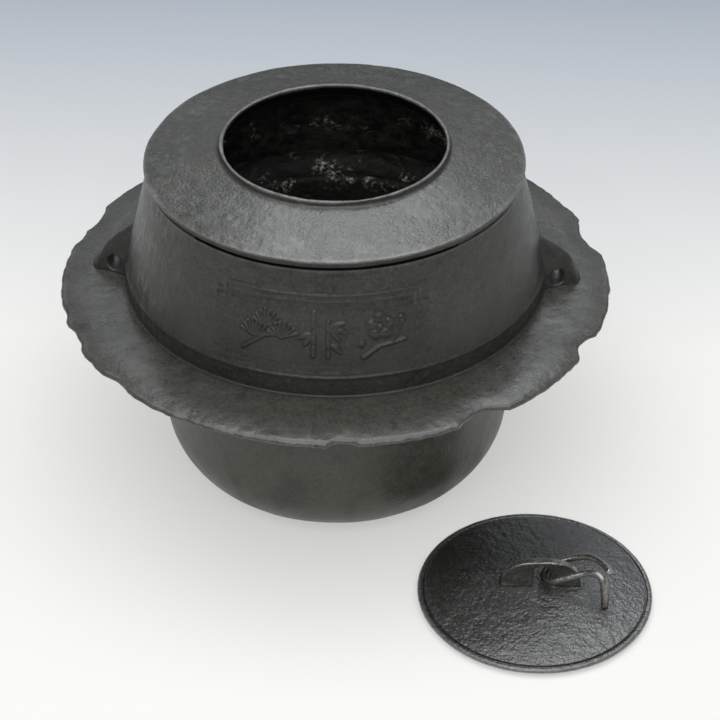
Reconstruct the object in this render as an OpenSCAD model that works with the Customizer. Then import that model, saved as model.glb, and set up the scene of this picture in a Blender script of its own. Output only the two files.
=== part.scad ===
// Cast-iron tea kettle with a broad ragged flange, standing open with its lid laid beside it.
// Millimetres, +Z up, origin at the centre of the kettle's flat base, sunken panel towards -Y.

/* [Mouth and shoulder] */
// Radius of the round mouth
mouth_r = 57; // [48:0.5:64]
// Thickness of the upright lip round the mouth
lip_t = 2.2; // [1.6:0.1:4]
// Height of the lip above the shoulder
lip_h = 3; // [1:0.5:6]
// Rise of the shoulder from its edge to the lip
shoulder_rise = 6.4; // [3:0.2:12]
// Height of the shoulder's upright edge
shoulder_edge_h = 3.4; // [2:0.2:6]
// Overhang of the shoulder's edge past the wall
shoulder_overhang = 2; // [0.5:0.5:5]

/* [Wall] */
// Width of the ledge from the bowl's outside to the foot of the wall
ledge_w = 17; // [12:0.5:26]
// How far the wall leans inwards between the foot band and its top
wall_lean = 14.4; // [5:0.1:22]
// Height of the wall between the flange and the shoulder
wall_h = 67.6; // [55:0.2:85]
// Thickness of the cast wall and shoulder
wall_t = 4.5; // [3:0.5:6.5]
// Height of the upright band at the foot of the wall
foot_band_h = 11; // [6:0.5:16]
// Radius of the bead that runs above the foot band
bead_r = 1.1; // [0.6:0.1:2]

/* [Panel] */
// Half of the angle that the sunken panel spans
panel_half_angle = 30; // [15:1:40]
// Height of the panel's lower edge above the flange
panel_low = 15; // [14:0.5:25]
// Height of the panel's upper edge above the flange
panel_high = 51; // [40:0.5:52]
// Depth of the panel
panel_depth = 0.8; // [0.4:0.1:1.5]
// Side of the square notch in each corner of the panel
panel_notch = 5; // [2:0.5:8]

/* [Flange] */
// Width of the flange past the foot of the wall, before its edge was worn and chipped
flange_w = 35; // [28:0.5:50]
// How far the flange's edge lies off centre, towards the panel
flange_shift = 1.4; // [0:0.1:3]
// Thickness of the flange
flange_t = 4; // [3:0.5:7]
// Height of the flange's upper face above the base
flange_z = 118; // [95:0.5:140]
// Depth of the gentle waves along the flange's edge
edge_wave = 0.4; // [0:0.1:2]

/* [Bowl] */
// Outer radius of the bowl
bowl_r = 93.5; // [80:0.5:96]
// Thickness of the bowl's wall
bowl_t = 4; // [3:0.5:6]
// Thickness of the bowl's floor
bowl_floor_t = 5; // [3:0.5:8]
// Radius of the rounding between the bowl's side and its base
bowl_corner_r = 40; // [20:1:60]
// Height that the bowl's rim stands above the flange's upper face, inside
bowl_rim_h = 3; // [2:0.5:6]

/* [Seam] */
// Width of the putty in the seam round the bowl
seam_w = 1.6; // [1:0.1:3]
// Size of the putty fillet under the flange and above it
seam_fillet = 2.4; // [1.5:0.1:4]
// Film between parts that are bonded together
bond_film = 0.1; // [0.05:0.05:0.2]

/* [Lugs] */
// Reach of each lug out from the foot of the wall
lug_reach = 18.5; // [15:0.5:22]
// Height of each lug at the wall
lug_h = 25.5; // [22:0.5:34]
// Width of each lug along the wall
lug_w = 22; // [18:0.5:28]
// Diameter of the hole across each lug
lug_hole_d = 8; // [5:0.5:9]
// Height of the hole above the flange
lug_hole_h = 5; // [5:0.2:8]
// Distance of the hole from the foot of the wall
lug_hole_out = 6.4; // [5.6:0.2:9]

/* [Singing plates] */
// Number of small plates on the bowl's inner floor
plate_n = 5; // [3:1:6]
// Length of each plate
plate_l = 20; // [12:1:24]
// Width of each plate
plate_w = 12; // [8:1:16]
// Thickness of each plate
plate_t = 2; // [1:0.5:3]
// Radius of the circle that the plates lie on
plate_ring_r = 30; // [28:1:38]

/* [Lid] */
// Overhang of the lid past the outside of the lip
lid_overhang = 1.4; // [0.5:0.1:4]
// Thickness of the lid
lid_t = 2.8; // [2:0.1:4]
// Rise of the lid's dome
lid_rise = 3.9; // [2:0.1:8]
// Width of the raised bead round the lid's edge
lid_bead_w = 2; // [1.2:0.1:3]
// Height of that bead
lid_bead_h = 0.8; // [0.4:0.1:1.5]
// Depth of the ring under the lid that drops into the mouth
lid_spigot_h = 2.4; // [2:0.2:6]
// Thickness of that ring
lid_spigot_t = 3; // [2:0.2:5]
// Clearance between that ring and the mouth
lid_clearance = 1.5; // [0.5:0.1:3]
// Gap between the bowl and the lid lying beside it on the floor
lid_gap = 8.7; // [4:0.1:60]
// Direction in which the lid lies, in degrees from +X
lid_direction = -47.3; // [-80:0.1:-20]
// Direction of the lid's staple, in degrees from +X
lid_turn = 3.4; // [-30:0.2:30]

/* [Staple] */
// Length of the staple along the lid
staple_l = 41.6; // [36:0.2:48]
// Height of the staple above the lid
staple_rise = 13.8; // [13:0.2:17]
// Thickness of the staple
staple_t = 4; // [3:0.1:4.6]
// Width of the opening that the ring passes through
door_w = 9; // [8:0.2:10]
// Height of that opening
door_h = 11.2; // [9:0.2:11.6]
// Distance of the opening from the staple's middle, towards its long side
door_shift = 0.2; // [-1.5:0.1:1.5]
// Distance of the staple's middle from the lid's centre, along the staple
staple_along = 2.8; // [0:0.1:4]
// Distance of the staple's middle from the lid's centre, across the staple
staple_across = 1.3; // [0:0.1:3]
// Distance of each tang from the staple's middle
tang_out = 13; // [10:0.5:15]
// Width of the tangs that pass through the lid
tang_w = 5; // [3:0.5:6]
// Thickness of the tangs
tang_t = 2.6; // [2:0.1:3]
// Length of the tang that is bent over under the lid
clench_l = 7; // [4:0.5:9]
// Thickness of the bent-over end
clench_t = 1.6; // [1:0.1:2]
// Clearance of each tang in its slot
tang_clearance = 0.15; // [0.1:0.05:0.3]

/* [Ring] */
// Diameter of the ring's bar
ring_bar_d = 3.6; // [3:0.1:4.2]
// Half width of the ring's eye, at the middle of the bar
ring_eye_w = 6.6; // [5.4:0.1:7]
// Length of the eye's round end
ring_eye_l = 7; // [6.5:0.1:9]
// How far the ring lies off the middle of the staple's opening, towards its leg
ring_play = 1.2; // [0:0.1:1.4]
// Turn of the ring from the staple, in degrees
ring_skew = -7.4; // [-12:0.2:4]
// Tilt of the ring as it leans on its leg
ring_tilt = 23; // [18:1:30]
// Half width of the ring where its front arm starts to bend down
arm_w = 6; // [6:0.2:10]
// Distance from the eye to the leg, along the ring
leg_out = 33.4; // [30:0.2:38]
// Distance of the leg from the ring's middle line
leg_side = 9.6; // [8:0.2:14]
// Lean of the leg outwards, at its foot
leg_lean_out = 1.8; // [0:0.2:6]
// Lean of the leg to the front, at its foot
leg_lean_front = 4.6; // [0:0.2:8]
// Length of the bend above the leg
leg_bend = 6; // [3:0.5:9]
// Half width that the back arm is bent out to
ring_crown_w = 10; // [9:0.5:13]
// Distance from the eye to that bend
ring_crown_out = 12.5; // [11:0.5:18]
// Distance of the back arm's free end past the leg
ring_end_past = 3.2; // [3:0.2:8]
// How far the free end curls past the ring's middle line
ring_end_curl = 10.2; // [2:0.2:11]
// Gap between the ring's eye and the lid
ring_gap = 2; // [1.5:0.1:2.4]
// Gap between the leg's foot and the lid
foot_gap = 0.35; // [0.2:0.05:0.8]

/* [Hidden] */
$fn = 120;
iron = [0.20, 0.20, 0.19];
worn_iron = [0.27, 0.27, 0.26];
old_putty = [0.13, 0.12, 0.11];
// A little more than nothing, so that cuts pass through the faces they open
eps = 0.5;

wall_foot_r = bowl_r + ledge_w;
wall_top_r = wall_foot_r - wall_lean;
flange_r = wall_foot_r + flange_w;
flange_low = flange_z - flange_t;
wall_top = flange_z + wall_h;
shoulder_top = wall_top + shoulder_edge_h;
lip_r = mouth_r + lip_t;
lip_foot = shoulder_top + shoulder_rise;
lip_top = lip_foot + lip_h;
band_top = flange_z + foot_band_h;
seat_r = bowl_r + seam_w;
// Chamfer under the seat that holds the putty clear of the flange's lower face
seat_chamfer = min(seam_fillet, flange_t * 0.6);
wall_slope = (wall_foot_r - wall_top_r) / (wall_h - foot_band_h);
bowl_rim = flange_z + bowl_rim_h;

// Chips in the flange's edge: [direction in degrees, half width in degrees, depth]
chips = [[18, 7, 5.8], [33, 4, 0.8], [52, 6, 2.5], [84, 5, 3], [113, 7, 2.5], [131, 4, 2],
         [162, 6, 3.4], [168, 4, 2], [198, 3, 1.4], [207, 5, 2.8], [225, 4, 2], [275, 3, 3],
         [304, 6, 6.2], [336.5, 4.5, 4.8]];
// Points along the flange's edge
edge_n = 360;

lid_r = lip_r + lid_overhang;
spigot_r = mouth_r - lid_clearance;
dome_r = lid_r - lid_bead_w;
lid_rim = lid_spigot_h + lid_t;
lid_top = lid_rim + lid_rise;
dome_ball_r = (dome_r * dome_r + lid_rise * lid_rise) / (2 * lid_rise);
dome_ball_z = lid_top - dome_ball_r;
lid_distance = bowl_r + lid_gap + lid_r;
lid_pos = [lid_distance * cos(lid_direction), lid_distance * sin(lid_direction), 0];

ring_bar_r = ring_bar_d / 2;
eye_along = staple_along + door_shift + ring_play;
eye_z = lid_top + ring_bar_r + ring_gap;
ring_sides = 12;

// Radius of the wall's outside at height z above the flange
function wall_at(h) = wall_foot_r - wall_slope * max(0, h - foot_band_h);

// Smallest turn between two directions
function turn_between(a, b) = abs((a - b + 540) % 360 - 180);

// Depth of one chip at direction a: a round bite that fades out at its half width
function chip_depth(a, c) = c[2] * max(0, 1 - pow(turn_between(a, c[0]) / c[1], 2));

// Radius of the flange's edge in direction a
function edge_at(a) = flange_r - flange_shift * sin(a)
    - edge_wave * (1 + sin(9 * a) * cos(4 * a + 30)) - max([for (c = chips) chip_depth(a, c)]);

function unit(v) = v / norm(v);

// Points of a quadratic curve from a to b that is pulled towards c
function bent(a, c, b, n) = [for (i = [0 : n]) let (t = i / n)
    (1 - t) * (1 - t) * a + 2 * t * (1 - t) * c + t * t * b];

// Height of the lid's upper face at distance d from its centre
function dome_at(d) = dome_ball_z + sqrt(dome_ball_r * dome_ball_r - d * d);

// A place on the leaning ring: u along it from the eye, w across it
function on_ring(u, w) = [u * cos(ring_tilt), w, eye_z + u * sin(ring_tilt)];

// Distance of a place beside the ring's eye from the lid's centre
function from_centre(p) = norm([eye_along + p[0] * cos(ring_skew) - p[1] * sin(ring_skew),
                                staple_across + p[0] * sin(ring_skew) + p[1] * cos(ring_skew)]);

// Middle line of the ring's bar, from the foot of the leg to the free end
leg_top = on_ring(leg_out, -leg_side);
leg_lean = norm([leg_lean_out, leg_lean_front]);
foot_xy = [leg_top[0] + leg_lean_out, leg_top[1] - leg_lean_front];
foot_floor = dome_at(from_centre(foot_xy));
foot_lift = foot_gap + ring_bar_r * leg_lean / norm([leg_lean, leg_top[2] - foot_floor]);
leg_foot = [foot_xy[0], foot_xy[1], foot_floor + foot_lift];
leg_way = unit(leg_foot - leg_top);
eye_turns = [for (a = [-90 : -16 : -250]) on_ring(ring_eye_l * (1 + cos(a)), ring_eye_w * sin(a))];
crown = on_ring(ring_crown_out, ring_crown_w);
turn_in = on_ring(leg_out + ring_end_past - 6, ring_crown_w - 5);
back_arm = (crown + turn_in) / 2;
ring_line = concat(
    [leg_foot],
    bent(leg_top + leg_bend * leg_way, leg_top, on_ring(leg_out - 1.5 * leg_bend, -arm_w), 8),
    eye_turns,
    [for (p = bent(eye_turns[len(eye_turns) - 1], crown, back_arm, 7)) if (p != eye_turns[10]) p],
    [for (p = bent(back_arm, turn_in, on_ring(leg_out + ring_end_past, -ring_end_curl), 10))
        if (p != back_arm) p]);
ring_last = len(ring_line) - 1;
ring_ways = [for (i = [0 : ring_last])
    unit(ring_line[min(i + 1, ring_last)] - ring_line[max(i - 1, 0)])];
// Sideways direction at each point, carried along the line without twisting
ring_sideways = [for (i = 0, s = unit(cross(ring_ways[0], [1, 0, 0])); i <= ring_last;
    i = i + 1, s = i > ring_last ? s : unit(s - (s * ring_ways[i]) * ring_ways[i])) s];

module revolved() {
    rotate_extrude() children();
}

module at_lid() {
    translate(lid_pos) rotate([0, 0, lid_turn]) children();
}

module at_staple() {
    translate([staple_along, staple_across, 0]) children();
}

// Solid outside of the upper casting, without the flange, grown by g
module upper_outside(g) {
    revolved() {
        polygon([[0, flange_low], [wall_foot_r + g, flange_low], [wall_foot_r + g, band_top],
                 [wall_top_r + g, wall_top], [wall_top_r + shoulder_overhang, wall_top],
                 [wall_top_r + shoulder_overhang, shoulder_top], [lip_r, lip_foot], [lip_r, lip_top],
                 [0, lip_top]]);
        translate([wall_foot_r, band_top]) circle(bead_r + g);
    }
}

// Hollow of the upper casting: mouth, chamber and the opening for the bowl
module upper_hollow() {
    ceiling = wall_top + shoulder_edge_h - wall_t;
    revolved() polygon([[0, flange_low - eps], [seat_r + seat_chamfer, flange_low - eps],
                        [seat_r + seat_chamfer, flange_low], [seat_r, flange_low + seat_chamfer],
                        [seat_r, flange_z], [wall_foot_r - wall_t, flange_z],
                        [wall_foot_r - wall_t, band_top],
                        [wall_top_r - wall_t, ceiling], [mouth_r, lip_foot - wall_t],
                        [mouth_r, lip_top + eps], [0, lip_top + eps]]);
}

// One block of the sunken panel, between two heights above the flange
module panel_block(half_angle, low, high) {
    rotate([0, 0, -90 - half_angle]) rotate_extrude(angle = 2 * half_angle)
        polygon([[wall_at(low) - panel_depth, flange_z + low], [wall_at(low) + bead_r, flange_z + low],
                 [wall_at(high) + bead_r, flange_z + high], [wall_at(high) - panel_depth, flange_z + high]]);
}

module panel() {
    notch_angle = panel_notch / wall_at(panel_high) * 180 / PI;
    panel_block(panel_half_angle, panel_low + panel_notch, panel_high - panel_notch);
    panel_block(panel_half_angle - notch_angle, panel_low, panel_high);
}

module upper_body() {
    color(iron) difference() {
        union() {
            upper_outside(0);
            translate([0, 0, flange_low]) linear_extrude(flange_t)
                polygon([for (i = [0 : edge_n - 1]) let (a = 360 * i / edge_n)
                    edge_at(a) * [cos(a), sin(a)]]);
        }
        upper_hollow();
        panel();
    }
}

// Outline of a bowl's half section, from the axis outwards
module bowl_half(r, corner, low, high) {
    translate([0, low + corner]) square([r, high - low - corner]);
    translate([0, low]) square([r - corner, corner]);
    intersection() {
        translate([r - corner, low + corner]) circle(corner);
        translate([r - corner, low]) square([corner, corner]);
    }
}

module bottom_bowl() {
    color(iron) difference() {
        revolved() bowl_half(bowl_r, bowl_corner_r, 0, bowl_rim);
        revolved() bowl_half(bowl_r - bowl_t, bowl_corner_r - bowl_t, bowl_floor_t, bowl_rim + eps);
    }
}

module seam_putty() {
    inner = bowl_r + bond_film;
    outer = seat_r - bond_film;
    high = flange_z + bond_film;
    color(old_putty) revolved() {
        polygon([[inner, flange_low - seam_fillet], [outer + seat_chamfer, flange_low],
                 [outer, flange_low + seat_chamfer], [outer, high], [outer + seam_fillet, high],
                 [inner, high + seam_fillet]]);
    }
}

// A lug on the +X side: a mound against the wall, with a hole across it
module lug() {
    tip_r = 4;
    peak_r = 3;
    base = flange_z + bond_film;
    color(worn_iron) difference() {
        hull() {
            translate([wall_foot_r, 0, base]) cylinder(h = 3, r = lug_w / 2, $fn = 32);
            translate([wall_foot_r + lug_reach - tip_r, 0, base]) cylinder(h = 2, r = tip_r, $fn = 32);
            translate([wall_foot_r + lug_reach * 0.46, 0, base + lug_h * 0.47]) sphere(tip_r, $fn = 32);
            translate([wall_foot_r - peak_r, 0, base + lug_h - peak_r]) sphere(peak_r, $fn = 32);
        }
        upper_outside(bond_film);
        translate([wall_foot_r + lug_hole_out, 0, flange_z + lug_hole_h]) rotate([90, 0, 0])
            cylinder(h = 2 * lug_w, d = lug_hole_d, center = true);
    }
}

module lug_right() {
    lug();
}

module lug_left() {
    rotate([0, 0, 180]) lug();
}

module singing_plates() {
    color(worn_iron) for (i = [0 : plate_n - 1]) rotate([0, 0, 360 * i / plate_n + 90])
        translate([plate_ring_r - plate_w / 2, -plate_l / 2, bowl_floor_t])
            cube([plate_w, plate_l, plate_t]);
}

// Solid under a ball-shaped dome whose top is at the given height
module dome(top) {
    translate([0, 0, top - dome_ball_r]) sphere(dome_ball_r, $fn = 400);
}

// The slots in the lid are the tangs grown by g
module tangs(g) {
    for (side = [-1, 1]) translate([side * tang_out, 0, lid_top / 2])
        cube([tang_w + 2 * g, tang_t + 2 * g, lid_top], center = true);
}

module lid_plate() {
    color(iron) at_lid() difference() {
        union() {
            intersection() {
                dome(lid_top);
                translate([0, 0, lid_spigot_h]) cylinder(h = lid_top, r = dome_r + eps);
            }
            translate([0, 0, lid_spigot_h]) cylinder(h = lid_t, r = lid_r);
            translate([0, 0, lid_spigot_h]) difference() {
                cylinder(h = lid_t + lid_bead_h, r = lid_r);
                cylinder(h = 3 * lid_t, r = dome_r, center = true);
            }
            cylinder(h = lid_rim, r = spigot_r);
        }
        intersection() {
            dome(lid_top - lid_t);
            translate([0, 0, -eps]) cylinder(h = lid_top, r = spigot_r - lid_spigot_t);
        }
        at_staple() tangs(tang_clearance);
    }
}

// Side of the staple: a hump with an opening through it, its foot sunk below the top of the lid
module staple_side() {
    half = staple_l / 2;
    sink = 2;
    difference() {
        polygon(concat([[-half, -sink]], [for (a = [0 : 5 : 180])
            [-half * cos(a), staple_rise * sqrt(1 - pow(abs(cos(a)), 3))]], [[half, -sink]]));
        translate([door_shift, door_h - door_w / 2]) {
            circle(door_w / 2, $fn = 48);
            translate([-door_w / 2, -door_h]) square([door_w, door_h]);
        }
    }
}

// The staple: an upright plate that the ring passes through, with two tangs clenched under the lid
module lid_staple() {
    clench_top = dome_at(norm([staple_along, staple_across]) + tang_out + clench_l) - lid_t - bond_film;
    clench_low = clench_top - clench_t;
    color(worn_iron) at_lid() {
        difference() {
            at_staple() translate([0, staple_t / 2, lid_top]) rotate([90, 0, 0])
                linear_extrude(staple_t) staple_side();
            dome(lid_top + bond_film);
        }
        at_staple() for (side = [-1, 1]) {
            translate([side * tang_out - tang_w / 2, -tang_t / 2, clench_low])
                cube([tang_w, tang_t, lid_top + 2 - clench_low]);
            translate([side * (tang_out + (clench_l - tang_w) / 2) - clench_l / 2, -tang_t / 2, clench_low])
                cube([clench_l, tang_t, clench_t]);
        }
    }
}

// A round bar swept along a line of points, closed by flat ends
module bar_along(line, ways, sideways, r, sides) {
    points = [for (i = [0 : len(line) - 1]) for (k = [0 : sides - 1]) let (a = 360 * k / sides)
        line[i] + r * (cos(a) * sideways[i] + sin(a) * cross(ways[i], sideways[i]))];
    skin = [for (i = [0 : len(line) - 2]) for (k = [0 : sides - 1]) let (n = (k + 1) % sides)
        each [[i * sides + k, i * sides + n, (i + 1) * sides + n],
              [i * sides + k, (i + 1) * sides + n, (i + 1) * sides + k]]];
    last = (len(line) - 1) * sides;
    first_end = [for (k = [sides - 1 : -1 : 0]) k];
    last_end = [for (k = [0 : sides - 1]) last + k];
    polyhedron(points, concat(skin, [first_end, last_end]));
}

module lid_ring() {
    color(worn_iron) at_lid() translate([eye_along, staple_across, 0]) rotate([0, 0, ring_skew])
        bar_along(ring_line, ring_ways, ring_sideways, ring_bar_r, ring_sides);
}

upper_body();
bottom_bowl();
seam_putty();
lug_left();
lug_right();
singing_plates();
lid_plate();
lid_staple();
lid_ring();
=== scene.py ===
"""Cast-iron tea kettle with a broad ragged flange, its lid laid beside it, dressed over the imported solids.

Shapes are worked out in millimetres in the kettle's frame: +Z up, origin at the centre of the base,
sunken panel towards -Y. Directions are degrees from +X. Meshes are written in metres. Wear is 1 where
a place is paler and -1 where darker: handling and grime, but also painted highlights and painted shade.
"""
import math

import bmesh
import bpy
import numpy as np
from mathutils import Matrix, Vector


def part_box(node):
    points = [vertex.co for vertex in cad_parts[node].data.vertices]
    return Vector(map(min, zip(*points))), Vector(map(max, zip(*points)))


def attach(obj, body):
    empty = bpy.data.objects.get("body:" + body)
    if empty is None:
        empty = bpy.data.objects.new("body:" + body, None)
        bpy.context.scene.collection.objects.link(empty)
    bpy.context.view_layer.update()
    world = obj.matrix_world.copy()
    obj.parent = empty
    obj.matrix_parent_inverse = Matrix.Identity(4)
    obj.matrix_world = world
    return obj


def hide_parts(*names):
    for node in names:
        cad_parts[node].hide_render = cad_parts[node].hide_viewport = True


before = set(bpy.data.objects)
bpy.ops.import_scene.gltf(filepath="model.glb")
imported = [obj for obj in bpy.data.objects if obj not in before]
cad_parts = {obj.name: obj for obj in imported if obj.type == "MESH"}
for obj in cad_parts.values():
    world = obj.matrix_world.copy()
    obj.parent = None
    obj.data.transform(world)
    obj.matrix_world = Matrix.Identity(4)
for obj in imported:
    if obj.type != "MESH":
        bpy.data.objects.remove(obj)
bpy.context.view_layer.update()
MM = 0.001


def extent(node, axis):
    """Lowest and highest place of a solid along an axis, in millimetres."""
    return [corner[axis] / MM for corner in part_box(node)]


# Mouth and shoulder
MOUTH_R = 57.0
LIP_T = 2.2
LIP_H = 3.0
LIP_INSIDE_H = 1.8
THROAT_TOP_OUT = 0.3
THROAT_FOOT_OUT = 2.0
SHOULDER_RISE = 6.4
SHOULDER_EDGE_H = 3.4
SHOULDER_OVERHANG = 2.0
LIP_R = MOUTH_R + LIP_T
FLANGE_LOW, LIP_TOP = extent("upper_body", 2)
LIP_FOOT = LIP_TOP - LIP_H
SHOULDER_TOP = LIP_FOOT - SHOULDER_RISE
WALL_TOP = SHOULDER_TOP - SHOULDER_EDGE_H
# Groove under the shoulder's edge: drops of the painted highlight line below it, its start and its bottom;
# its depth
EAVE_LINE = 2.6
EAVE_START = 2.2
EAVE_BOTTOM = 1.1
EAVE_DEPTH = 0.5
# Edge of the shoulder: tuck and lift of its foot, its lean, and where its painted shade ends
RIM_TUCK = 0.5
RIM_LIFT = 0.2
RIM_LEAN = 0.2
RIM_SHADE_DROP = 1.5

# Wall, bead and flange
WALL_T = 4.5
WALL_LEAN = 14.4
LEDGE_W = 17.0
FOOT_BAND_H = 11.0
BEAD_H = 0.7
BEAD_SPREAD = 0.8
FLANGE_T = 4.0
FLANGE_W = 35.0
FLANGE_SHIFT = 1.4
FLANGE_DROOP = 1.4
FLANGE_DROOP_W = 15.0
FLANGE_Z = FLANGE_LOW + FLANGE_T
BAND_TOP = FLANGE_Z + FOOT_BAND_H
BOWL_R = extent("bottom_bowl", 0)[1]
WALL_FOOT_R = BOWL_R + LEDGE_W
WALL_TOP_R = WALL_FOOT_R - WALL_LEAN
WALL_SLOPE = WALL_LEAN / (WALL_TOP - BAND_TOP)
FLANGE_R = WALL_FOOT_R + FLANGE_W
# Flange's edge: its wave and the swell of that, and how far out its raggedness starts
EDGE_WAVE = 0.4
EDGE_WAVE_N = 9
EDGE_SWELL_N = 4
EDGE_SWELL_TURN = 30.0
EDGE_FROM = 8.0
# Radius where the flange's upper face starts to sag, and the fade there
SAG_FROM = 114.0
SAG_FADE = 12.0
# Chips in the flange's edge: direction, half width in degrees, depth
CHIPS = [(18, 7, 5.8), (33, 4, 0.8), (52, 6, 2.5), (84, 5, 3), (113, 7, 2.5), (131, 4, 2),
         (162, 6, 3.4), (168, 4, 2), (198, 3, 1.4), (207, 5, 2.8), (225, 4, 2), (275, 3, 3),
         (304, 6, 6.2), (336.5, 4.5, 4.8)]

# Panel on the wall, heights above the flange
PANEL_HALF_ANGLE = 30.0
PANEL_LOW = 15.0
PANEL_HIGH = 51.0
PANEL_DEPTH = 0.8
PANEL_EDGE_W = 3.0
PANEL_NOTCH = 5.0
PANEL_R = 103.0
PANEL_FRONT = -90.0
# Its frame: two lines with a groove inside each, and the share of it that wear has left
PANEL_LINE_OUT = 1.9
PANEL_LINE_GAP = 3.1
PANEL_LINE_H = 0.45
PANEL_LINE_W = 0.6
PANEL_GROOVE_IN = 1.4
PANEL_GROOVE = 0.6
UPRIGHT_LEFT = 0.15
LOWER_LEFT = 0.3
SINK_LEFT = 0.3
# Its motifs
RELIEF_H = 0.95
MOTIF_HALF_W = 16.0

# Round the upper casting: half angle of the finely cut front, the steps there and elsewhere
FRONT_HALF = 35.0
FRONT_STEP = 0.25
REST_STEP = 0.62
# Its wear: reach of that of corners, then the bead's painted highlight, the paling of the flange, and the
# painted glints near the shoulder's edge
CORNER_REACH = 0.8
BEAD_HIGHLIGHT = 0.2
FLANGE_PALING = 0.12
SHOULDER_GLINTS = 0.4
GLINTS_FROM = 4.0
GLINTS_FADE = 22.0
WALL_GRIT = 0.35
# Pale upright streaks on one side of the wall
STREAK_DIRECTION = 188.0
STREAKS = 0.5
# Darkening towards the foot of the wall: its strength and how high it reaches
FOOT_DARKENING = 0.45
FOOT_DARKENING_H = 44.0
# Half angle at the front within which a painted shadow blackens the underside of the shoulder's edge
SHADOWED_EAVE_HALF = 42.0
# Inside, height below which painted shade blackens the wall, and the fade above that
CHAMBER_SHADE_BELOW = 140.0
CHAMBER_SHADE_FADE = 16.0

# Bowl and seam
BOWL_T = 4.0
BOWL_FLOOR_T = 5.0
BOWL_CORNER_R = 40.0
BOWL_RIM = extent("bottom_bowl", 2)[1]
BOWL_STAINS = 0.4
# Painted shade inside the bowl at its rim: how far below the rim it starts, and its fade
BOWL_SHADE_H = 40.0
BOWL_SHADE_FADE = 20.0
SEAM_W = 1.6
SEAM_FILLET = 2.4
SEAT_R = BOWL_R + SEAM_W

# Lugs
LUG_REACH = 18.5
LUG_H = 25.5
LUG_W = 22.0
LUG_TIP_W = 10.0
LUG_NARROWING = 0.62
LUG_FLARE = 0.8
LUG_FLARE_H = 1.6
LUG_ROOT = 2.2
LUG_SUNK = 0.4
LUG_HOLE_D = 8.0
LUG_HOLE_H = 5.0
LUG_HOLE_OUT = 6.4
# Painted light on the lugs: a highlight on their outward ridge and shade on their other faces and in the
# hole
LUG_RIDGE_HIGHLIGHT = 0.15
LUG_SIDE_SHADE = 0.6

# Singing plates on the bowl's inner floor
PLATE_N = 5
PLATE_L = 20.0
PLATE_W = 12.0
PLATE_T = 2.0
PLATE_RING_R = 30.0
PLATE_SQUARENESS = 0.35
PLATE_WOBBLE = 0.4

# Lid, staple and ring, in the lid's own frame
LID_X = sum(extent("lid_plate", 0)) / 2
LID_Y = sum(extent("lid_plate", 1)) / 2
LID_TURN = 3.4
LID_R = extent("lid_plate", 0)[1] - LID_X
LID_T = 2.8
LID_RISE = 3.9
LID_BEAD_W = 2.6
LID_BEAD_DROP = 0.35
LID_GROOVE = 0.8
LID_GROOVE_W = 0.9
# Painted shade on the back of the dome; on its front a painted highlight, and more grain whose pale grains
# are painted glints
LID_BACK_SHADE = 1.0
LID_FRONT_HIGHLIGHT = 0.12
LID_FRONT_GRIT_AND_GLINTS = 0.4
# Where the painted shade of the lid's back starts, before its middle, and its fade
BACK_SHADE_BEFORE = 10.0
BACK_SHADE_FADE = 44.0
LID_SPIGOT_H = 2.4
LID_SPIGOT_T = 3.0
LID_SPIGOT_R = MOUTH_R - 1.5
LID_RIM = LID_SPIGOT_H + LID_T
LID_TOP = LID_RIM + LID_RISE
DOME_R = LID_R - 2.0
DOME_BALL_R = (DOME_R ** 2 + LID_RISE ** 2) / (2 * LID_RISE)
STAPLE_L = 41.6
STAPLE_RISE = 13.8
STAPLE_T = 4.0
STAPLE_SUNK = 1.2
STAPLE_FLARE = 0.6
STAPLE_FLARE_H = 4.5
STAPLE_FILLET = 0.35
STAPLE_FILLET_H = 1.1
STAPLE_ALONG = 2.8
STAPLE_ACROSS = 1.3
DOOR_W = 9.0
DOOR_H = 11.2
DOOR_SHIFT = 0.2
TANG_OUT = 13.0
TANG_W = 5.0
TANG_T = 2.6
CLENCH_L = 7.0
CLENCH_T = 1.6
CLENCH_GAP = 0.1
RING_BAR_R = 1.8
RING_EYE_W = 6.6
RING_EYE_L = 7.0
RING_PLAY = 1.2
RING_SKEW = -7.4
RING_TILT = 23.0
RING_GAP = 2.0
FOOT_GAP = 0.35
ARM_W = 6.0
LEG_OUT = 33.4
LEG_SIDE = 9.6
LEG_LEAN_OUT = 1.8
LEG_LEAN_FRONT = 4.6
LEG_BEND = 6.0
RING_CROWN_W = 10.0
RING_CROWN_OUT = 12.5
RING_END_PAST = 3.2
RING_END_CURL = 10.2
RING_END_SHORT = 6.0
RING_END_IN = 5.0
RING_STEP = 0.4
RING_SMOOTHING = 14
# The bar is thickest at the leg, thins over a stretch of its length, and has rounded ends
BAR_AT_LEG = 1.1
BAR_THINNING = 0.16
THIN_FROM = 16.0
THIN_OVER = 12.0
BAR_END_L = 0.9
# Reach of the painted shadow about the eye, and its fade
EYE_SHADOW_R = 11.7
EYE_SHADOW_FADE = 9.0
EYE_ALONG = STAPLE_ALONG + DOOR_SHIFT + RING_PLAY
EYE_Z = LID_TOP + RING_BAR_R + RING_GAP

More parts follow.
